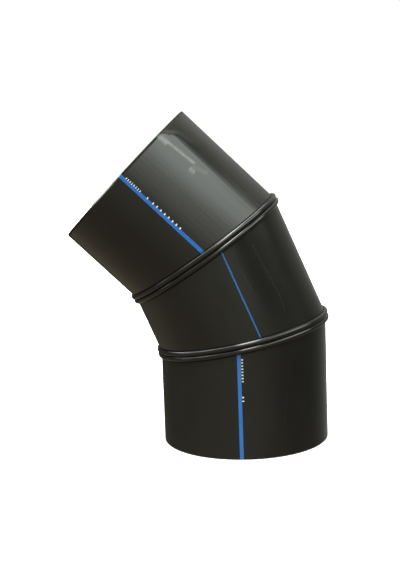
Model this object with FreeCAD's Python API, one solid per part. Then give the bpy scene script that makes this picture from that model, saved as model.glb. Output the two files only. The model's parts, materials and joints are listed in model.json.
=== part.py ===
import FreeCAD, Part
import math
import os

from FreeCAD import Vector

# A fabricated elbow of black polyethylene pressure pipe, which turns the line through 45 degrees.
# Three lengths of pipe are cut on the slant and fused face to face, and the melt that each
# joint squeezes out stands as a double roll, one from each pipe, outside and inside.
# Blue strips run along every pipe, flush with its skin, and end under the rolls.
#
# Sizes are millimetres and angles are degrees. The origin is the centre of the lower end face,
# +Z runs up the lower leg's axis, the elbow bends towards -X, and -Y is its front.
# Each pipe is made upright, with its own foot at the origin, and then set in its place.

# The pipe
pipe_diameter = 315.0
pipe_wall = 28.6

# The elbow
elbow_angle = 45.0
bend_radius = 442.5  # of the arc that the three axes follow
spigot_length = 150.0  # round stretch of a leg, square to its axis, that a coupler takes
throat_length = 24.7  # from the spigot to the joint, on the inner side of the bend
outer_bevel = 1.5  # broken outer edge of a free end
inner_bevel = 1.5

# The rolls of melt at each joint, which are round in section
outer_roll_radius = 5.2
outer_roll_rise = 0.9  # of the section's centre above the pipe's outside
outer_roll_setback = 4.6  # of the section's centre from the joint's face
inner_roll_radius = 4.8
inner_roll_rise = 0.6  # of the section's centre inside the pipe's bore
inner_roll_setback = 4.3

# The blue strips
stripe_count = 3  # on each pipe, evenly spaced
stripe_depth = 1.2
leg_stripe_width = 6.8
middle_stripe_width = 2.8
lower_stripe_angle = -6.0  # of the first strip from the front, towards the outer side of the bend
middle_stripe_angle = 10.0
upper_stripe_angle = 0.5

# What follows from those sizes
outer_radius = pipe_diameter / 2
bore_radius = outer_radius - pipe_wall
joint_turn = elbow_angle / 2  # each of the two joints takes half of the turn
cut_angle = joint_turn / 2  # and each pipe at a joint half of that
cut_slope = math.tan(math.radians(cut_angle))
leg_length = spigot_length + throat_length + outer_radius * cut_slope
middle_length = 2 * bend_radius * cut_slope
overrun = 4 * outer_roll_radius  # of blanks and cutters past what they cut


class End:
    """One end of a pipe. inward is 1 where the pipe lies above it, and -1 where it lies below."""

    def __init__(self, height, inward, fused):
        self.height = height
        self.inward = inward
        self.fused = fused
        self.tilt = -inward * cut_angle if fused else 0

    def plane(self, depth):
        """The plane that lies this deep in the pipe, as its height on the axis and its tilt."""
        return self.height + self.inward * depth / math.cos(math.radians(self.tilt)), self.tilt


def section(radius, plane):
    """The closed line where a round bar along Z meets a plane that may be tilted towards -X."""
    height, tilt = plane
    centre = Vector(0, 0, height)
    if tilt == 0:
        outline = Part.Circle(centre, Vector(0, 0, 1), radius)
    else:
        long_half = Vector(radius, 0, radius * math.tan(math.radians(tilt)))
        outline = Part.Ellipse(centre + long_half, centre + Vector(0, radius, 0), centre)
    return Part.Wire([outline.toShape()])


def bar(radius, low_plane, high_plane):
    """A solid round bar between two planes."""
    return Part.makeLoft([section(radius, low_plane), section(radius, high_plane)], True, True)


def tube(low, high, overrun_low, overrun_high):
    """The pipe's wall between two ends, overrun past each by the amounts given."""
    wall = bar(outer_radius, low.plane(-overrun_low), high.plane(-overrun_high))
    bore = bar(bore_radius, low.plane(-overrun_low - overrun), high.plane(-overrun_high - overrun))
    return wall.cut(bore)


def spigot():
    """The round stretch of a leg, turned about Z, with its free end and broken edges at the bottom."""
    corners = [
        (bore_radius + inner_bevel, 0),
        (outer_radius - outer_bevel, 0),
        (outer_radius, outer_bevel),
        (outer_radius, spigot_length),
        (bore_radius, spigot_length),
        (bore_radius, inner_bevel),
    ]
    points = [Vector(x, 0, z) for x, z in corners]
    profile = Part.Face(Part.makePolygon(points + points[:1]))
    return profile.revolve(Vector(0, 0, 0), Vector(0, 0, 1), 360)


def roll(centre_radius, roll_radius, plane, into_wall):
    """A whole round ring of melt. into_wall points along X into the wall, where its seam is buried."""
    height, tilt = plane
    rise = centre_radius * math.tan(math.radians(tilt))
    outline = Part.Circle(Vector(centre_radius, 0, height + rise), Vector(0, 1, 0), roll_radius)
    outline.XAxis = Vector(into_wall, 0, 0)
    profile = Part.Wire([outline.toShape()])
    return section(centre_radius, plane).makePipeShell([profile], True, True)


def outer_roll(end):
    plane = end.plane(outer_roll_setback)
    return roll(outer_radius + outer_roll_rise, outer_roll_radius, plane, -1)


def inner_roll(end):
    plane = end.plane(inner_roll_setback)
    return roll(bore_radius - inner_roll_rise, inner_roll_radius, plane, 1)


def stripe_cutters(low, high, width, first_angle):
    """Cutters for one pipe's strips. They stop under the rolls, and run past a free end."""
    reach = outer_radius + overrun
    low_plane, high_plane = (end.plane(outer_roll_setback if end.fused else -overrun) for end in (low, high))
    bottom = Vector(0, 0, low.height - reach)
    length = high.height - low.height + 2 * reach
    core = Part.makeCylinder(outer_radius - stripe_depth, length, bottom)
    skin = bar(reach, low_plane, high_plane).cut(core)
    cutters = []
    for index in range(stripe_count):
        slab = Part.makeBox(width, reach, length, bottom - Vector(width / 2, reach, 0))
        slab.rotate(Vector(0, 0, 0), Vector(0, 0, 1), first_angle + index * 360 / stripe_count)
        cutters.append(skin.common(slab))
    return cutters


def pipe_piece(stock, low, high, width, first_angle):
    """A pipe with its rolls, and its strips. The bare stock overruns each fused end."""
    fused = [end for end in (low, high) if end.fused]
    outside = [outer_roll(end) for end in fused]
    inside = [inner_roll(end) for end in fused]
    pipe = stock
    strips = []
    for cutter in stripe_cutters(low, high, width, first_angle):
        strips.append(stock.common(cutter).cut(outside))
        pipe = pipe.cut(cutter)
    low_plane, high_plane = (end.plane(0 if end.fused else -overrun) for end in (low, high))
    trim = bar(outer_radius + overrun, low_plane, high_plane)
    return pipe.fuse(outside + inside).common(trim), strips


def leg_stock():
    """A leg's bare pipe, with its free end at the bottom."""
    square_end = End(spigot_length, 1, False)
    return spigot().fuse(tube(square_end, End(leg_length, -1, True), 0, overrun))


def lower_leg():
    low = End(0, 1, False)
    high = End(leg_length, -1, True)
    return pipe_piece(leg_stock(), low, high, leg_stripe_width, lower_stripe_angle)


def middle_segment():
    low = End(0, 1, True)
    high = End(middle_length, -1, True)
    stock = tube(low, high, overrun, overrun)
    return pipe_piece(stock, low, high, middle_stripe_width, middle_stripe_angle)


def upper_leg():
    low = End(0, 1, True)
    high = End(leg_length, -1, False)
    stock = leg_stock()
    stock.rotate(Vector(0, 0, leg_length / 2), Vector(1, 0, 0), 180)
    return pipe_piece(stock, low, high, leg_stripe_width, upper_stripe_angle)


def along(turn, distance):
    """A run of the elbow's axis that leans from +Z towards -X."""
    lean = math.radians(turn)
    return Vector(-distance * math.sin(lean), 0, distance * math.cos(lean))


def export(shape, foot, turn, node):
    """Sets a piece in its place and writes it."""
    shape.Placement = FreeCAD.Placement(foot, FreeCAD.Rotation(Vector(0, 1, 0), -turn))
    if len(shape.Solids) != 1 or not shape.isValid():
        raise RuntimeError(f"{node} is not one valid solid")
    solid = shape.Solids[0]
    solid.exportStep(f"parts/{node}.step")
    print(f"{node}: {solid.Volume / 1000:.2f} cm3, {len(solid.Faces)} faces")


lower_joint = along(0, leg_length)
upper_joint = lower_joint + along(joint_turn, middle_length)
pieces = [
    ("lower_leg", lower_leg(), Vector(0, 0, 0), 0),
    ("middle_segment", middle_segment(), lower_joint, joint_turn),
    ("upper_leg", upper_leg(), upper_joint, elbow_angle),
]

os.makedirs("parts", exist_ok=True)
for name, (pipe, strips), foot, turn in pieces:
    export(pipe, foot, turn, name)
    for number, strip in enumerate(strips, start=1):
        export(strip, foot, turn, f"{name}_stripe_{number}")
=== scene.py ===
import json
import math

import bmesh
import bpy
import numpy as np
from mathutils import Matrix, Vector


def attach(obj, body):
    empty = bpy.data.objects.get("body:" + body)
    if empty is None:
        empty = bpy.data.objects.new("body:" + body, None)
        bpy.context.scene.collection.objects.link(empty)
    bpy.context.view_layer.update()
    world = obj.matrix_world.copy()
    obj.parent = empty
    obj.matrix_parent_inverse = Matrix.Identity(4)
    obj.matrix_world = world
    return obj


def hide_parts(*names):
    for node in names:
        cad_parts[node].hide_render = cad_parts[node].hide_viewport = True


# A fabricated elbow of black polyethylene pipe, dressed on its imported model.
# Lengths are metres, and the angles among the values are degrees, unless a comment says otherwise.
# In the functions that make meshes, phi and turn are radians.
# Each pipe is built upright in a frame of its own, with its foot at the origin and -Y as its front,
# and a matrix then sets its points in their place. Angles round a pipe are counted from its front,
# and are positive towards the outer side of the bend.

MM = 0.001
FULL_TURN = 360.0

# The elbow's forms. They repeat those of the solids, but for the outer rolls' section and the gutters.
# A gutter is the dark crease between an outer roll and the skin beside it. It is deepest along a line
# that lies GUTTER_LEAN past the roll's foot.
ELBOW_ANGLE = 45.0
SPIGOT_LENGTH = 150.0 * MM
THROAT_LENGTH = 24.7 * MM
OUTER_ROLL = {"radius": 5.0 * MM, "rise": 1.2 * MM, "setback": 4.85 * MM}
INNER_ROLL = {"radius": 4.8 * MM, "rise": -0.6 * MM, "setback": 4.3 * MM}
GUTTER_WIDTH = 1.5 * MM
GUTTER_LEAN = 0.25 * MM
GUTTER_DEPTH = 0.9 * MM
OUTER_BEVEL = 1.5 * MM
INNER_BEVEL = 1.5 * MM
STRIPE_COUNT = 3
STRIPE_DEPTH = 1.2 * MM
LEG_STRIPE_WIDTH = 6.8 * MM
MIDDLE_STRIPE_WIDTH = 2.8 * MM
STRIPE_ANGLES = {"lower_leg": -6.0, "middle_segment": 10.0, "upper_leg": 0.5}  # of each first strip

# How finely the meshes are divided
COLUMNS = 420
ROLL_ROWS = 20
WALL_ROWS = 60
BORE_ROWS = 8
FACE_ROWS = 3
STRIPE_COLUMNS = 5
WELD = 0.001 * MM
CREASE = math.radians(32)  # an edge that turns less than this is shaded smooth

# How a roll's foot on the wall is found: the angles on its circle that it lies between, how often they
# are halved, and how often the place round the pipe is then set right
FOOT_ANGLES = (-150.0, -45.0)
FOOT_STEPS = 30
TURN_STEPS = 4

# Which of a pipe's materials a band of its faces has
SKIN, MELT, PLANED, BORE = range(4)

# The shallow hollow that the upper leg has near its free end. It deepens from its start to its end,
# and lies between a front edge, which bends forward along the pipe, and a back edge.
HOLLOW_START = 140.0 * MM
HOLLOW_LENGTH = 65.0 * MM
HOLLOW_DEPTH = 3.4 * MM
HOLLOW_EDGE = 55.0
HOLLOW_BEND = 15.0
HOLLOW_BEND_POWER = 1.3
HOLLOW_BORDER = 6.5
HOLLOW_BACK = (62.0, 88.0)
HOLLOW_WAVES = ((1.4, 13.0 * MM), (0.8, 5.5 * MM))  # in degrees, and the length in which they turn a radian

# Marks on the skins. A place is in degrees round its pipe and millimetres along it from its foot.
# A rub is a pale straight mark: its two ends, half its width in degrees, and how pale it is.
# Nick glints are small ones on the rolls: real nicks whose glints are painted in as pale colour, a painted
# highlight.
# The painted rim sheen is a wide one at the upper leg's free end: a painted reflection on its edge and
# bevel.
RUBS = {
    "lower_leg": (((24.0, 60.0), (25.5, 118.0), 0.35, 0.05), ((-38.0, 96.0), (-37.2, 150.0), 0.3, 0.04)),
    "middle_segment": (((34.6, 46.7), (31.6, 158.6), 0.8, 0.05), ((32.9, 25.2), (34.6, 46.7), 0.7, 0.05),
                       ((17.9, 88.7), (16.6, 133.1), 0.8, 0.04)),
    "upper_leg": (((41.2, 126.0), (38.6, 196.0), 2.0, 0.50), ((38.4, 184.0), (37.6, 205.0), 3.6, 0.60),
                  ((35.6, 115.0), (35.9, 124.0), 3.0, 0.45), ((42.5, 97.0), (38.5, 122.0), 2.6, 0.14),
                  ((24.0, 60.0), (22.5, 172.0), 0.5, 0.06)),
}
# Painted highlight: real small nicks on the upper leg's rolls, with their glints painted in as pale colour.
NICK_GLINTS = {
    "upper_leg": (((-38.8, 24.0), (-38.2, 26.0), 0.3, 0.25), ((-33.3, 21.0), (-32.7, 23.0), 0.3, 0.20),
                  ((55.0, -16.0), (55.4, -12.5), 0.5, 0.9)),
}
# Painted reflection: a pale band painted on the upper leg's free edge and bevel, where light shows a
# sliver.
PAINTED_RIM_SHEEN = {"upper_leg": (((-15.0, 205.5), (-15.0, 215.0), 18.0, 1.0),)}
RIM_SHEEN_RADII = (155.5 * MM, 156.0 * MM)  # from the axis, between which the painted rim sheen begins on the end's face
RUB_BORDER = 3.0  # how softly a rub starts and ends, in millimetres
# Plain inked ticks beside the first strip: the degrees that they span, and of each run of them its
# start, its end, the pitch and the length of a tick, in millimetres along the pipe
TICKS = {
    "lower_leg": {"degrees": (-4.6, -3.4), "runs": ((143.0, 187.0, 5.6, 2.2), (107.0, 117.0, 7.0, 2.2))},
    "upper_leg": {"degrees": (1.3, 2.6), "runs": ((66.0, 135.0, 9.1, 2.4), (143.0, 147.0, 4.6, 2.2),
                                                  (161.0, 197.0, 4.6, 1.5))},
}
TICK_BORDER = 0.1  # in millimetres along the pipe
TICK_SIDE_BORDER = 0.05  # in degrees round it

# Colours. Where there are two, the surface goes from one to the other in soft patches.
SKIN_COLOURS = ((0.0075, 0.0068, 0.0056), (0.0095, 0.0088, 0.0072))
MELT_COLOUR = (0.0070, 0.0066, 0.0054)
LIGHTER = 1.3  # how much lighter the patches of the melt and of the cut faces are
BLUES = {"lower_leg": (0.031, 0.155, 0.48), "middle_segment": (0.018, 0.104, 0.31),
         "upper_leg": (0.016, 0.132, 0.47)}
BLUE_SHADES = (0.88, 1.12)
# Painted highlight in part: the rubs are real scuffs, but the nick glints that share this colour are
# painted highlights.
RUB_AND_GLINT_COLOUR = (0.20, 0.21, 0.19)
# Painted reflection: the pale colour of the painted rim sheen.
RIM_SHEEN_COLOUR = (0.36, 0.38, 0.34)
TICK_COLOUR = (0.86, 0.88, 0.86)
WHITE = (1.0, 1.0, 1.0)

# How rough the surfaces are, from their glossier patches to their duller ones
SKIN_ROUGHNESS = {"lower_leg": (0.19, 0.23), "middle_segment": (0.17, 0.21), "upper_leg": (0.17, 0.20)}
MELT_ROUGHNESS = (0.09, 0.15)
BLUE_ROUGHNESS = (0.28, 0.36)
PLANED_LOOK = {"colour": (0.008, 0.008, 0.007), "roughness": (0.76, 0.84), "specular": 0.06}
BORE_LOOK = {"colour": (0.014, 0.0135, 0.012), "roughness": (0.31, 0.39), "specular": 0.5}
# What is added at a pipe's foot, and how many millimetres along it nothing of that is left
FOOT_ROUGHNESS = {"lower_leg": 0.0, "middle_segment": 0.0, "upper_leg": 0.10}
FOOT_FADE = 150.0
# What is added at a free end, and the millimetres along the pipe between which it sets in
RIM_ROUGHNESS = 0.8
RIMS = {"lower_leg": (3.0, 2.0), "upper_leg": (201.0, 202.0)}

# The relief of the surfaces. The die leaves fine lines along a pipe, which are calm at one side of its
# front and strong at the other, and which also vary how rough it is.
LINE_HEIGHT = {"lower_leg": 0.02 * MM, "middle_segment": 0.006 * MM, "upper_leg": 0.06 * MM}
LINE_SHEEN = {"lower_leg": 0.025, "middle_segment": 0.012, "upper_leg": 0.035}
LINE_RISE = (-5.0, 15.0)  # the degrees between which the lines grow strong
LINE_CALM = 0.2  # how strong they are before that
FINE_LINE_SHARE = 0.08  # the height of the finest lines beside the others
WAVE_HEIGHT = {"lower_leg": 0.25 * MM, "middle_segment": 0.35 * MM, "upper_leg": 0.5 * MM}
MELT_SWELL_HEIGHT = 0.35 * MM
MELT_FINE_HEIGHT = 0.02 * MM
RING_HEIGHT = 0.01 * MM
BLUE_LINE_HEIGHT = 0.004 * MM

# Grains of noise: their features a metre across the pipe, those along it, and their levels of detail
GRAINS = {
    "scuff": (500.0, 90.0, 3.0),
    "ink": (300.0, 300.0, 2.0),
    "fine_lines": (620.0, 2.0, 2.0),
    "lines": (210.0, 0.8, 2.0),
    "waves": (14.0, 6.0, 1.0),
    "patches": (22.0, 12.0, 4.0),
    "melt_patches": (60.0, 60.0, 3.0),
    "melt_swell": (38.0, 38.0, 1.0),
    "melt_fine": (260.0, 260.0, 2.0),
    "cut_patches": (90.0, 90.0, 4.0),
    "cut_rings": (900.0, 20.0, 2.0),
    "blue_patches": (70.0, 25.0, 4.0),
    "blue_lines": (620.0, 2.0, 3.0),
}
GRAIN_ROUGHNESS = 0.5
# The levels of a grain between which its effect sets in
PATCH_LEVELS = (0.3, 0.7)
LINE_LEVELS = (0.40, 0.64)
SCUFF_LEVELS = (0.25, 0.6)
INK_LEVELS = (0.3, 0.5)
# How strong a rub and the ink still are where their grain takes most of them away
SCUFF_LEFT = 0.35
INK_LEFT = 0.55

# The camera, worked out from the outline in the photograph. Its sensor is in millimetres.
FRAME_PIXELS = (400, 570)
SENSOR = 36.0
FOCAL_PIXELS = 1010.85
CAMERA_PLACE = (-0.09123, -1.90728, 0.56504)
CAMERA_YAW = 0.355
CAMERA_PITCH = -7.979
CAMERA_ROLL = -2.075

# The surroundings that the pipe mirrors. Azimuths are counted from the front, as round a pipe, and
# heights up from level, both in degrees. x, y and z are those of a direction one unit long.
# The horizon's brightness at each azimuth
HORIZON = (
    (-180, 0.14), (-165, 0.06), (-145, 0.08), (-120, 0.13), (-90, 0.22), (-60, 0.34), (-25, 0.42),
    (0, 0.43), (25, 0.33), (50, 0.18), (75, 0.11), (105, 0.10), (130, 0.20), (150, 0.30), (168, 0.36),
    (180, 0.20),
)
HORIZON_TINTS = ((1.0, 1.0, 0.80), (0.97, 1.0, 0.93))
TINT_AZIMUTHS = (20, 65)  # between which the first tint gives way to the second
GROUND_COLOURS = ((0.33, 0.285, 0.21), (0.25, 0.225, 0.155))
GROUND_PLACES = (0.3, 0.8)  # the y between which the first colour gives way to the second
GROUND_HEIGHTS = (-14, -32)  # between which the horizon gives way to the ground
# Lights. A span is where a light starts and where it is full, and where it has another side, also
# where it begins to fade and where it is gone.
LIGHTS = {
    "behind": {"strength": 0.30, "colour": (1.0, 1.04, 0.88),
               "spans": {"azimuth": (95, 125, 150, 172), "height": (2, 35)}},
    "window": {"strength": 4.2, "colour": (0.92, 1.0, 0.94),
               "spans": {"azimuth": (12, 54, 92, 103), "height": (13.5, 37, 57, 65)}},
    "front": {"strength": 1.5, "colour": (0.95, 1.0, 0.95),
              "spans": {"azimuth": (-25, 8, 22, 45), "height": (-8, 26, 50, 64)}},
    "overhead": {"strength": 6.5, "colour": WHITE,
                 "spans": {"x": (-0.92, -0.68, -0.05, 0.10), "y": (-0.35, -0.10, 0.45, 0.95),
                           "z": (0.36, 0.54)}},
    "lamp": {"strength": 16.0, "colour": WHITE,
             "spans": {"x": (-0.34, -0.22, -0.10, 0.06), "y": (-0.75, -0.45, -0.05, 0.32),
                       "z": (0.55, 0.65)}},
    "far_right": {"strength": 0.8, "colour": (1.0, 1.0, 0.88),
                  "spans": {"azimuth": (95, 125), "height": (42, 58)}},
    "left": {"strength": 1.6, "colour": (0.95, 1.0, 0.97),
             "spans": {"azimuth": (-102, -98, -82, -78), "height": (4, 8, 16, 20)}},
}

# The stage: a floor just under the elbow and a dome round both
STAGE_RADIUS = 8.0
FLOOR_DROP = 0.4 * MM
FLOOR_SIDES = 96
DOME_SEGMENTS = 64
DOME_RINGS = 32
FLOOR_LOOK = {"diffuse": 0.5, "glow": 0.9}
DOME_LOOK = {"diffuse": 0.0, "glow": 1.05}


def mount(record, name):
    return next(item for item in record["mounts"] if item["name"] == name)


def sine(angle):
    return math.sin(math.radians(angle))


def cosine(angle):
    return math.cos(math.radians(angle))


class Elbow:
    """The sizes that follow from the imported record."""

    def __init__(self, record):
        self.radius = mount(record, "lower_spigot")["dims"]["r_mm"] * MM
        self.bore = mount(record, "lower_bore")["dims"]["r_mm"] * MM
        self.cut_slope = math.tan(math.radians(ELBOW_ANGLE / 4))
        self.cut_cosine = cosine(ELBOW_ANGLE / 4)
        joint_turn = ELBOW_ANGLE / 2
        self.leg = SPIGOT_LENGTH + THROAT_LENGTH + self.radius * self.cut_slope
        end_x = mount(record, "upper_spigot")["pos_m"][0]
        self.middle = -(end_x + self.leg * sine(ELBOW_ANGLE)) / sine(joint_turn)
        self.lower_joint = Vector((0, 0, self.leg))
        step = Vector((-sine(joint_turn), 0, cosine(joint_turn)))
        self.upper_joint = self.lower_joint + step * self.middle


class End:
    """One end of a pipe in its own frame. side is 1 at the top and -1 at the foot."""

    def __init__(self, elbow, height, side, fused):
        self.elbow = elbow
        self.height = height
        self.side = side
        self.fused = fused
        self.slope = 0.0
        self.normal = np.array([0, 0, 1.0])
        if fused:
            self.slope = side * elbow.cut_slope
            self.normal = np.array([-self.slope, 0, 1]) * elbow.cut_cosine


def on_cylinder(radius, phi, z):
    """Points at an angle phi round the axis, as rows of x, y and z."""
    return np.stack([radius * np.sin(phi), -radius * np.cos(phi), z + 0 * phi], axis=-1)


def angle_of(points):
    return np.arctan2(points[..., 0], -points[..., 1])


def roll_arc(end, wall, roll, phi, share, facing):
    """Points on a roll, at a share of its arc from the joint's face (0) to its foot on the wall (1).

    facing is 1 for a roll on the outside, and -1 for one in the bore. Each column's foot is at phi.
    """
    size = roll["radius"]
    depth = end.side * roll["setback"] / end.elbow.cut_cosine
    top = math.asin(roll["setback"] / size)

    def point(turn, angle):
        centre = on_cylinder(roll["centre_radius"], turn, end.height - depth)
        centre[..., 2] += end.slope * centre[..., 0]
        run = np.stack([np.cos(turn), np.sin(turn), end.slope * np.cos(turn)], axis=-1)
        run /= np.linalg.norm(run, axis=-1, keepdims=True)
        away = np.cross(run, end.normal) * facing
        out = end.normal * end.side
        return centre + size * (np.cos(angle)[..., None] * away + np.sin(angle)[..., None] * out)

    def foot(turn):
        low, high = (np.full_like(turn, math.radians(angle)) for angle in FOOT_ANGLES)
        for _ in range(FOOT_STEPS):
            middle = (low + high) / 2
            reach = np.linalg.norm(point(turn, middle)[..., :2], axis=-1)
            proud = (reach - wall) * facing > 0
            high = np.where(proud, middle, high)
            low = np.where(proud, low, middle)
        return (low + high) / 2

    turn = phi.copy()
    for _ in range(TURN_STEPS):
        found = angle_of(point(turn, foot(turn)))
        turn += (phi - found + math.pi) % (2 * math.pi) - math.pi
    last = foot(turn)
    return point(turn, top + (last - top) * share)


def outer_end(end, phi, sunk):
    """Rows from an end's face, over its roll or its bevel, to the wall."""
    elbow = end.elbow
    if end.fused:
        roll = dict(OUTER_ROLL, centre_radius=elbow.radius + OUTER_ROLL["rise"])
        shares = np.linspace(0, 1, ROLL_ROWS)
        rows = [roll_arc(end, elbow.radius, roll, phi, share, 1) for share in shares]
        deep = roll_arc(end, elbow.radius - STRIPE_DEPTH, roll, phi, 1, 1)
        foot = rows[-1]
        for sink, away in ((0, 0), (GUTTER_DEPTH, GUTTER_LEAN), (0, GUTTER_WIDTH)):
            row = foot * (1 - sink / elbow.radius, 1 - sink / elbow.radius, 1) - (0, 0, end.side * away)
            rows.append(np.where(sunk[:, None], deep, row))
        return rows
    depth = np.where(sunk, STRIPE_DEPTH, 0)
    edge = on_cylinder(elbow.radius - OUTER_BEVEL, phi, end.height)
    shoulder = on_cylinder(1.0, phi, 0.0)
    shoulder[:, :2] *= (elbow.radius - depth)[:, None]
    shoulder[:, 2] = end.height - end.side * (OUTER_BEVEL - depth)
    return [edge, shoulder]


def inner_end(end, phi):
    """Rows from an end's face, over its inner roll or bevel, to the bore."""
    elbow = end.elbow
    if end.fused:
        roll = dict(INNER_ROLL, centre_radius=elbow.bore + INNER_ROLL["rise"])
        shares = np.linspace(0, 1, ROLL_ROWS)
        return [roll_arc(end, elbow.bore, roll, phi, share, -1) for share in shares]
    edge = on_cylinder(elbow.bore + INNER_BEVEL, phi, end.height)
    return [edge, on_cylinder(elbow.bore, phi, end.height - end.side * INNER_BEVEL)]


def between(start, end, count):
    """Rows strictly between two rows, straight from one to the other."""
    shares = np.linspace(0, 1, count + 2)[1:-1]
    return [start + (end - start) * share for share in shares]


def columns_of(elbow, width, first_angle):
    """The angles of a pipe's columns, and which of them lie in a strip's groove."""
    half = width / 2 / elbow.radius
    pitch = FULL_TURN / STRIPE_COUNT
    centres = [math.radians(first_angle + index * pitch) for index in range(STRIPE_COUNT)]
    phi = []
    sunk = []
    for centre in centres:
        groove = np.linspace(centre - half, centre + half, STRIPE_COLUMNS)
        phi += [groove[0], *groove, groove[-1]]
        sunk += [False] + [True] * STRIPE_COLUMNS + [False]
        gap_end = centre + math.radians(pitch) - half
        plain = np.linspace(centre + half, gap_end, COLUMNS // STRIPE_COUNT)[1:-1]
        phi += list(plain)
        sunk += [False] * len(plain)
    return np.array(phi), np.array(sunk)


def mesh_object(name, points, faces, materials, face_materials, matrix):
    """An object of these points and faces, with its doubled points welded and its creases sharp."""
    mesh = bpy.data.meshes.new(name)
    rotation = np.array(matrix.to_3x3())
    mesh.from_pydata((points @ rotation.T + matrix.translation).tolist(), [], faces)
    for material in materials:
        mesh.materials.append(material)
    mesh.polygons.foreach_set("material_index", face_materials)
    shape = bmesh.new()
    shape.from_mesh(mesh)
    bmesh.ops.remove_doubles(shape, verts=shape.verts, dist=WELD)
    bmesh.ops.dissolve_degenerate(shape, edges=shape.edges, dist=WELD)
    bmesh.ops.recalc_face_normals(shape, faces=shape.faces)
    for face in shape.faces:
        face.smooth = True
    for edge in shape.edges:
        edge.smooth = edge.is_manifold and edge.calc_face_angle() < CREASE
    open_edges = sum(not edge.is_manifold for edge in shape.edges)
    shape.to_mesh(mesh)
    shape.free()
    print(name, "faces", len(mesh.polygons), "open edges", open_edges)
    piece = bpy.data.objects.new(name, mesh)
    bpy.context.scene.collection.objects.link(piece)
    return piece


def smoothed(value, start, end):
    """0 up to start and 1 from end on, with a smooth rise between them."""
    share = np.clip((value - start) / (end - start), 0, 1)
    return share * share * (3 - 2 * share)


def hollowed(row):
    """A row of the upper leg's outside, pressed in where its shallow hollow lies."""
    share = np.clip((row[:, 2] - HOLLOW_START) / HOLLOW_LENGTH, 0, 1)
    degrees = np.degrees(angle_of(row))
    edge = HOLLOW_EDGE - HOLLOW_BEND * share ** HOLLOW_BEND_POWER
    edge += sum(size * np.sin(row[:, 2] / length) for size, length in HOLLOW_WAVES)
    front = smoothed(degrees, edge, edge + HOLLOW_BORDER)
    depth = HOLLOW_DEPTH * share * (front - smoothed(degrees, *HOLLOW_BACK))
    scale = 1 - np.maximum(depth, 0) / np.hypot(row[:, 0], row[:, 1])
    return row * np.stack([scale, scale, np.ones_like(scale)], axis=-1)


def pipe_mesh(name, elbow, low, high, width, first_angle, materials, matrix, shaped=None):
    """A whole pipe, as a grid that closes round the axis and round its section."""
    phi, sunk = columns_of(elbow, width, first_angle)
    outer_low = outer_end(low, phi, sunk)
    outer_high = outer_end(high, phi, sunk)[::-1]
    inner_high = inner_end(high, phi)
    inner_low = inner_end(low, phi)[::-1]
    wall = between(outer_low[-1], outer_high[0], WALL_ROWS)
    if shaped:
        wall = [shaped(row) for row in wall]
        outer_high = [shaped(row) for row in outer_high]
    low_end = MELT if low.fused else PLANED
    high_end = MELT if high.fused else PLANED
    # Each stretch has its rows, the material between them, and that of the link to the next stretch.
    stretches = (
        (outer_low, low_end, SKIN),
        (wall, SKIN, SKIN),
        (outer_high, high_end, PLANED),
        (between(outer_high[-1], inner_high[0], FACE_ROWS), PLANED, PLANED),
        (inner_high, high_end, BORE),
        (between(inner_high[-1], inner_low[0], BORE_ROWS), BORE, BORE),
        (inner_low, low_end, PLANED),
        (between(inner_low[-1], outer_low[0], FACE_ROWS), PLANED, PLANED),
    )
    rows = []
    bands = []
    for stretch, inside, link in stretches:
        rows += stretch
        bands += [inside] * (len(stretch) - 1) + [link]
    grid = np.stack(rows)
    row_count, column_count = grid.shape[:2]
    faces = []
    face_materials = []
    for row in range(row_count):
        below = row * column_count
        above = (row + 1) % row_count * column_count
        for column in range(column_count):
            beside = (column + 1) % column_count
            faces.append((below + column, below + beside, above + beside, above + column))
            face_materials.append(bands[row])
    return mesh_object(name, grid.reshape(-1, 3), faces, materials, face_materials, matrix)


def stripe_mesh(name, elbow, low, high, width, angle, material, matrix):
    """A strip, flush with the pipe's skin, as long as the groove that holds it."""
    half = width / 2 / elbow.radius
    centre = math.radians(angle)
    phi = np.linspace(centre - half, centre + half, STRIPE_COLUMNS)
    flush = np.zeros(STRIPE_COLUMNS, bool)
    rows = []
    for sunk in (flush, ~flush):
        start, end = (outer_end(side, phi, sunk)[-1] for side in (low, high))
        layer = [start, *between(start, end, WALL_ROWS), end]
        rows += layer[::-1] if rows else layer
    row_count = len(rows)
    faces = []
    for row in range(row_count):
        below = row * STRIPE_COLUMNS
        above = (row + 1) % row_count * STRIPE_COLUMNS
        for column in range(STRIPE_COLUMNS - 1):
            faces.append((below + column, below + column + 1, above + column + 1, above + column))
    for row in range(row_count // 2 - 1):
        mirror = row_count - 1 - row
        for side in (0, STRIPE_COLUMNS - 1):
            corners = (row, row + 1, mirror - 1, mirror)
            faces.append(tuple(corner * STRIPE_COLUMNS + side for corner in corners))
    points = np.stack(rows).reshape(-1, 3)
    return mesh_object(name, points, faces, [material], [0] * len(faces), matrix)


# Materials


def add(tree, kind, inputs=None, output=0, **settings):
    """Adds a node, fills its inputs with values or links, and returns one of its outputs."""
    node = tree.nodes.new("ShaderNode" + kind)
    for setting, value in settings.items():
        setattr(node, setting, value)
    for key, value in (inputs or {}).items():
        fill(tree, node.inputs[key], value)
    return node.outputs[output]


def fill(tree, socket, value):
    """Sets a socket to a value, or links it where the value is another node's output."""
    if isinstance(value, bpy.types.NodeSocket):
        tree.links.new(value, socket)
    else:
        socket.default_value = value


def calc(tree, operation, first, second=0.0, third=0.0):
    return add(tree, "Math", {0: first, 1: second, 2: third}, operation=operation)


def blend(tree, factor, first, second):
    """A colour between two, by a factor from 0 to 1."""
    colours = {0: factor, 6: first, 7: second}
    return add(tree, "Mix", colours, output=2, data_type="RGBA")


def ramp(tree, value, start, end, low=0.0, high=1.0):
    """Maps start..end to low..high smoothly, and holds the ends."""
    inputs = {"Value": value, "From Min": start, "From Max": end, "To Min": low, "To Max": high}
    return add(tree, "MapRange", inputs, interpolation_type="SMOOTHSTEP")


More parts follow.
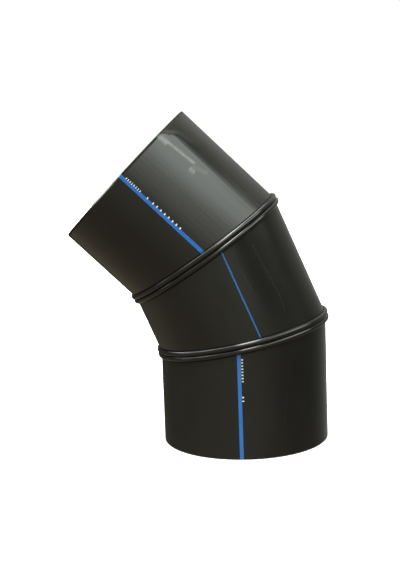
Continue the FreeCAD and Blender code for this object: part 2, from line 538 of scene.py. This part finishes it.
def band(tree, value, low, high, soft):
    """1 from low to high, and 0 past a soft border on each side."""
    rise = ramp(tree, value, low - soft, low)
    return calc(tree, "MULTIPLY", rise, ramp(tree, value, high + soft, high))


def axes_of(tree, vector):
    """The x, y and z of a vector."""
    return [add(tree, "SeparateXYZ", {"Vector": vector}, output=axis) for axis in range(3)]


def azimuth_of(tree, x, y):
    """Degrees round the upright axis, counted from -Y."""
    angle = calc(tree, "ARCTAN2", x, calc(tree, "MULTIPLY", y, -1.0))
    return calc(tree, "MULTIPLY", angle, math.degrees(1))


def rgba(colour, share=1.0):
    """A colour for a socket, made lighter or darker by a share."""
    return (*(share * part for part in colour), 1.0)


def shader_of(material):
    return next(node for node in material.node_tree.nodes if node.type == "BSDF_PRINCIPLED")


class Finish:
    """A new material, with its shader and the place on its pipe that each point has."""

    def __init__(self, name, pipe):
        self.material = bpy.data.materials.new(name)
        self.material.use_nodes = True
        self.tree = self.material.node_tree
        self.shader = shader_of(self.material)
        world = add(self.tree, "TexCoord", output="Object")
        turn = (0, -math.radians(pipe["turn"]), 0)
        place = {"Vector": world, "Location": tuple(pipe["foot"]), "Rotation": turn}
        self.place = add(self.tree, "Mapping", place, vector_type="TEXTURE")
        x, y, z = axes_of(self.tree, self.place)
        self.degrees = azimuth_of(self.tree, x, y)
        self.along = calc(self.tree, "MULTIPLY", z, 1 / MM)

    def set(self, **sockets):
        for name, value in sockets.items():
            fill(self.tree, self.shader.inputs[name.replace("_", " ")], value)

    def bump(self, height, distance=1.0):
        inputs = {"Height": height, "Strength": 1.0, "Distance": distance}
        self.set(Normal=add(self.tree, "Bump", inputs))


def grain(finish, kind):
    """Noise from 0 to 1, of one of the kinds in GRAINS."""
    across, along, detail = GRAINS[kind]
    scaled = add(finish.tree, "Mapping", {"Vector": finish.place, "Scale": (across, across, along)})
    inputs = {"Vector": scaled, "Scale": 1.0, "Detail": detail, "Roughness": GRAIN_ROUGHNESS}
    return add(finish.tree, "TexNoise", inputs)


def pale_streak(finish, start, end, half_width, strength):
    """How pale a straight mark is at each point: a rub, a painted nick glint or the painted rim sheen."""
    tree = finish.tree
    lean = (end[0] - start[0]) / (end[1] - start[1])
    line = calc(tree, "MULTIPLY_ADD", finish.along, lean, start[0] - lean * start[1])
    away = calc(tree, "ABSOLUTE", calc(tree, "SUBTRACT", finish.degrees, line))
    across = ramp(tree, away, half_width, 0.0)
    length = band(tree, finish.along, start[1], end[1], RUB_BORDER)
    return calc(tree, "MULTIPLY", calc(tree, "MULTIPLY", across, length), strength)


def pale_streaks(finish, marks):
    """All the marks of a list, broken up by a grain: rubs, painted nick glints, or the painted rim sheen.
    """
    tree = finish.tree
    total = pale_streak(finish, *marks[0])
    for mark in marks[1:]:
        total = calc(tree, "MAXIMUM", total, pale_streak(finish, *mark))
    broken = ramp(tree, grain(finish, "scuff"), *SCUFF_LEVELS, SCUFF_LEFT, 1.0)
    return calc(tree, "MULTIPLY", total, broken)


def ticks(finish, name):
    """1 where a pipe has an inked tick, and 0 elsewhere."""
    tree = finish.tree
    row = TICKS[name]
    total = None
    for start, end, pitch, length in row["runs"]:
        share = calc(tree, "FRACT", calc(tree, "MULTIPLY_ADD", finish.along, 1 / pitch, -start / pitch))
        marks = calc(tree, "MULTIPLY", calc(tree, "LESS_THAN", share, length / pitch),
                     band(tree, finish.along, start, end, TICK_BORDER))
        total = marks if total is None else calc(tree, "MAXIMUM", total, marks)
    wear_and_sheen = ramp(tree, grain(finish, "ink"), *INK_LEVELS, INK_LEFT, 1.0)
    beside = band(tree, finish.degrees, *row["degrees"], TICK_SIDE_BORDER)
    return calc(tree, "MULTIPLY", total, calc(tree, "MULTIPLY", beside, wear_and_sheen))


def skin_material(name, pipe):
    """The skin of a pipe, with its faint patches, its fine lines and its marks."""
    finish = Finish("skin_" + name, pipe)
    tree = finish.tree
    patches = grain(finish, "patches")
    colour = blend(tree, ramp(tree, patches, *PATCH_LEVELS), *(rgba(shade) for shade in SKIN_COLOURS))
    colour = blend(tree, pale_streaks(finish, RUBS[name]), colour, rgba(RUB_AND_GLINT_COLOUR))
    # Painted reflection: the pale rim sheen at the upper leg's free edge.
    if name in PAINTED_RIM_SHEEN:
        colour = blend(tree, pale_streaks(finish, PAINTED_RIM_SHEEN[name]), colour, rgba(RIM_SHEEN_COLOUR))
    if name in TICKS:
        colour = blend(tree, ticks(finish, name), colour, rgba(TICK_COLOUR))

    lines = ramp(tree, grain(finish, "lines"), *LINE_LEVELS)
    lines = calc(tree, "MULTIPLY", lines, ramp(tree, finish.degrees, *LINE_RISE, LINE_CALM, 1.0))
    streaks = calc(tree, "MULTIPLY_ADD", lines, LINE_SHEEN[name], -LINE_SHEEN[name] / 2)
    sheen = calc(tree, "ADD", ramp(tree, patches, *PATCH_LEVELS, *SKIN_ROUGHNESS[name]), streaks)
    fade = ramp(tree, finish.along, FOOT_FADE, 0.0, 0.0, FOOT_ROUGHNESS[name])
    sheen = calc(tree, "ADD", sheen, fade)
    if name in RIMS:
        sheen = calc(tree, "ADD", sheen, ramp(tree, finish.along, *RIMS[name], 0.0, RIM_ROUGHNESS))
    finish.set(Base_Color=colour, Roughness=sheen)

    height = calc(tree, "MULTIPLY_ADD", grain(finish, "fine_lines"), FINE_LINE_SHARE, lines)
    height = calc(tree, "MULTIPLY", height, LINE_HEIGHT[name])
    finish.bump(calc(tree, "MULTIPLY_ADD", grain(finish, "waves"), WAVE_HEIGHT[name], height))
    return finish.material


def melt_material(name, pipe):
    """The glossy skin of the rolls, which swells a little along them, with painted glints on its nicks."""
    finish = Finish("melt_" + name, pipe)
    tree = finish.tree
    patches = grain(finish, "melt_patches")
    colour = blend(tree, patches, rgba(MELT_COLOUR), rgba(MELT_COLOUR, LIGHTER))
    # Painted highlight: pale glints painted on the nicks of the rolls.
    if name in NICK_GLINTS:
        colour = blend(tree, pale_streaks(finish, NICK_GLINTS[name]), colour, rgba(RUB_AND_GLINT_COLOUR))
    finish.set(Base_Color=colour, Roughness=ramp(tree, patches, *PATCH_LEVELS, *MELT_ROUGHNESS))
    height = calc(tree, "MULTIPLY", grain(finish, "melt_swell"), MELT_SWELL_HEIGHT)
    finish.bump(calc(tree, "MULTIPLY_ADD", grain(finish, "melt_fine"), MELT_FINE_HEIGHT, height))
    return finish.material


def cut_material(name, pipe, look, wear_and_sheen=None):
    """The bore, or a planed end, which shows the tool's fine rings and may carry a painted rim sheen, a
    painted reflection.
    """
    finish = Finish(name, pipe)
    tree = finish.tree
    patches = grain(finish, "cut_patches")
    shade = blend(tree, patches, rgba(look["colour"]), rgba(look["colour"], LIGHTER))
    # Painted reflection: a pale band on the end's outer rim.
    if wear_and_sheen:
        flat = add(tree, "VectorMath", {0: finish.place, 1: (1.0, 1.0, 0.0)}, operation="MULTIPLY")
        radius = add(tree, "VectorMath", {0: flat}, output=1, operation="LENGTH")
        mark = calc(tree, "MULTIPLY", pale_streaks(finish, wear_and_sheen), ramp(tree, radius, *RIM_SHEEN_RADII))
        shade = blend(tree, mark, shade, rgba(RIM_SHEEN_COLOUR))
    finish.set(Base_Color=shade, Roughness=ramp(tree, patches, *PATCH_LEVELS, *look["roughness"]),
               Specular_IOR_Level=look["specular"])
    finish.bump(grain(finish, "cut_rings"), RING_HEIGHT)
    return finish.material


def blue_material(name, pipe):
    """The blue of a pipe's strips, with the ticks where they run onto one."""
    finish = Finish("blue_" + name, pipe)
    tree = finish.tree
    patches = grain(finish, "blue_patches")
    shade = blend(tree, patches, *(rgba(BLUES[name], share) for share in BLUE_SHADES))
    if name in TICKS:
        shade = blend(tree, ticks(finish, name), shade, rgba(TICK_COLOUR))
    finish.set(Base_Color=shade, Roughness=ramp(tree, patches, *PATCH_LEVELS, *BLUE_ROUGHNESS))
    finish.bump(grain(finish, "blue_lines"), BLUE_LINE_HEIGHT)
    return finish.material


# The stage


def make_camera():
    scene = bpy.context.scene
    camera = bpy.data.objects.new("camera", bpy.data.cameras.new("camera"))
    scene.collection.objects.link(camera)
    ahead = Vector((sine(CAMERA_YAW) * cosine(CAMERA_PITCH), cosine(CAMERA_YAW) * cosine(CAMERA_PITCH),
                    sine(CAMERA_PITCH)))
    level = Vector((cosine(CAMERA_YAW), -sine(CAMERA_YAW), 0))
    above = level.cross(ahead)
    right = level * cosine(CAMERA_ROLL) + above * sine(CAMERA_ROLL)
    up = above * cosine(CAMERA_ROLL) - level * sine(CAMERA_ROLL)
    turn = Matrix((right, up, -ahead)).transposed()
    camera.matrix_world = Matrix.Translation(CAMERA_PLACE) @ turn.to_4x4()
    camera.data.sensor_width = SENSOR
    camera.data.lens = FOCAL_PIXELS * SENSOR / max(FRAME_PIXELS)
    scene.camera = camera


def horizon_colour(tree, azimuth):
    """The grey that HORIZON gives at each azimuth. The colour ramp's middle is the front."""
    middle = 0.5
    scale = tree.nodes.new("ShaderNodeValToRGB")
    tree.links.new(calc(tree, "MULTIPLY_ADD", azimuth, 1 / FULL_TURN, middle), scale.inputs["Fac"])
    stops = scale.color_ramp.elements
    stops.remove(stops[1])
    stops[0].position = 0.0
    for index, (angle, level) in enumerate(HORIZON):
        stop = stops[0] if index == 0 else stops.new(angle / FULL_TURN + middle)
        stop.color = rgba((level, level, level))
    return scale.outputs["Color"]


def span(tree, value, start, full, fade=None, end=None):
    """1 between full and fade, and 0 outside start and end."""
    rise = ramp(tree, value, start, full)
    return rise if fade is None else calc(tree, "MULTIPLY", rise, ramp(tree, value, end, fade))


def make_world():
    """The soft surroundings, by the direction in which they are seen."""
    world = bpy.data.worlds.new("studio")
    bpy.context.scene.world = world
    world.use_nodes = True
    tree = world.node_tree
    background = next(node for node in tree.nodes if node.type == "BACKGROUND")
    x, y, z = axes_of(tree, add(tree, "TexCoord", output="Generated"))
    azimuth = azimuth_of(tree, x, y)
    height = calc(tree, "MULTIPLY", calc(tree, "ARCSINE", z), math.degrees(1))
    axes = {"x": x, "y": y, "z": z, "azimuth": azimuth, "height": height}

    tint = blend(tree, span(tree, azimuth, *TINT_AZIMUTHS), *(rgba(colour) for colour in HORIZON_TINTS))
    total = add(tree, "VectorMath", {0: horizon_colour(tree, azimuth), 1: tint}, operation="MULTIPLY")
    ground = blend(tree, span(tree, y, *GROUND_PLACES), *(rgba(colour) for colour in GROUND_COLOURS))
    total = blend(tree, span(tree, height, *GROUND_HEIGHTS), total, ground)
    for light in LIGHTS.values():
        spans = [span(tree, axes[axis], *limits) for axis, limits in light["spans"].items()]
        share = spans.pop()
        while spans:
            share = calc(tree, "MULTIPLY", spans.pop(), share)
        strength = calc(tree, "MULTIPLY", share, light["strength"])
        part = add(tree, "VectorMath", {0: light["colour"], "Scale": strength}, operation="SCALE")
        total = add(tree, "VectorMath", {0: total, 1: part}, operation="ADD")
    tree.links.new(total, background.inputs["Color"])


def glowing(name, diffuse, glow):
    """A matt white that also shines of itself."""
    material = bpy.data.materials.new(name)
    material.use_nodes = True
    sockets = {"Base Color": rgba(WHITE, diffuse), "Roughness": 1.0, "Specular IOR Level": 0.0,
               "Emission Color": rgba(WHITE), "Emission Strength": glow}
    shader = shader_of(material)
    for socket, value in sockets.items():
        shader.inputs[socket].default_value = value
    return material


def stage_piece(name, look):
    """Dresses the piece just added. The camera sees it, but none of its light reaches the elbow."""
    piece = bpy.context.object
    piece.name = name
    piece.data.materials.append(glowing("pale_" + name, **look))
    piece.visible_glossy = False
    piece.visible_transmission = False
    piece.visible_diffuse = False
    piece.visible_shadow = False
    return piece


def make_stage():
    bpy.ops.mesh.primitive_circle_add(vertices=FLOOR_SIDES, radius=STAGE_RADIUS, fill_type="NGON",
                                      location=(0, 0, -FLOOR_DROP))
    floor = stage_piece("floor", FLOOR_LOOK)
    bpy.ops.mesh.primitive_uv_sphere_add(segments=DOME_SEGMENTS, ring_count=DOME_RINGS,
                                         radius=STAGE_RADIUS)
    dome = stage_piece("backdrop", DOME_LOOK)


def make_elbow(elbow):
    pipes = {
        "lower_leg": {"length": elbow.leg, "foot": Vector((0, 0, 0)), "turn": 0.0},
        "middle_segment": {"length": elbow.middle, "foot": elbow.lower_joint, "turn": ELBOW_ANGLE / 2},
        "upper_leg": {"length": elbow.leg, "foot": elbow.upper_joint, "turn": ELBOW_ANGLE},
    }
    for name, pipe in pipes.items():
        low = End(elbow, 0.0, -1, name != "lower_leg")
        high = End(elbow, pipe["length"], 1, name != "upper_leg")
        width = MIDDLE_STRIPE_WIDTH if name == "middle_segment" else LEG_STRIPE_WIDTH
        matrix = Matrix.Translation(pipe["foot"]) @ Matrix.Rotation(-math.radians(pipe["turn"]), 4, "Y")
        materials = [
            skin_material(name, pipe),
            melt_material(name, pipe),
            # The upper leg's planed end takes the painted rim sheen, a painted reflection.
            cut_material("planed_end_" + name, pipe, PLANED_LOOK, PAINTED_RIM_SHEEN.get(name)),
            cut_material("bore_" + name, pipe, BORE_LOOK),
        ]
        shaped = hollowed if name == "upper_leg" else None
        shape = pipe_mesh("dressed_" + name, elbow, low, high, width, STRIPE_ANGLES[name],
                          materials, matrix, shaped)
        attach(shape, "root")
        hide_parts(name)
        blue = blue_material(name, pipe)
        for index in range(STRIPE_COUNT):
            angle = STRIPE_ANGLES[name] + index * FULL_TURN / STRIPE_COUNT
            node = f"{name}_stripe_{index + 1}"
            stripe = stripe_mesh("dressed_" + node, elbow, low, high, width, angle, blue, matrix)
            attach(stripe, "root")
            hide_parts(node)


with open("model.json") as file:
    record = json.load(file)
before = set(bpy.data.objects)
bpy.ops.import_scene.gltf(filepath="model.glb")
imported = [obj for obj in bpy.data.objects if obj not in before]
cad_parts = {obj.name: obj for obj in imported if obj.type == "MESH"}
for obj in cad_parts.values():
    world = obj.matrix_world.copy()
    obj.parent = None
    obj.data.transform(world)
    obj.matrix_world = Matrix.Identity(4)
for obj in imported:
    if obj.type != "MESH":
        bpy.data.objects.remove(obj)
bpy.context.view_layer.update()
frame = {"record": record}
bpy.context.scene.view_settings.view_transform = "Standard"
make_camera()
make_world()
make_stage()
make_elbow(Elbow(frame["record"]))
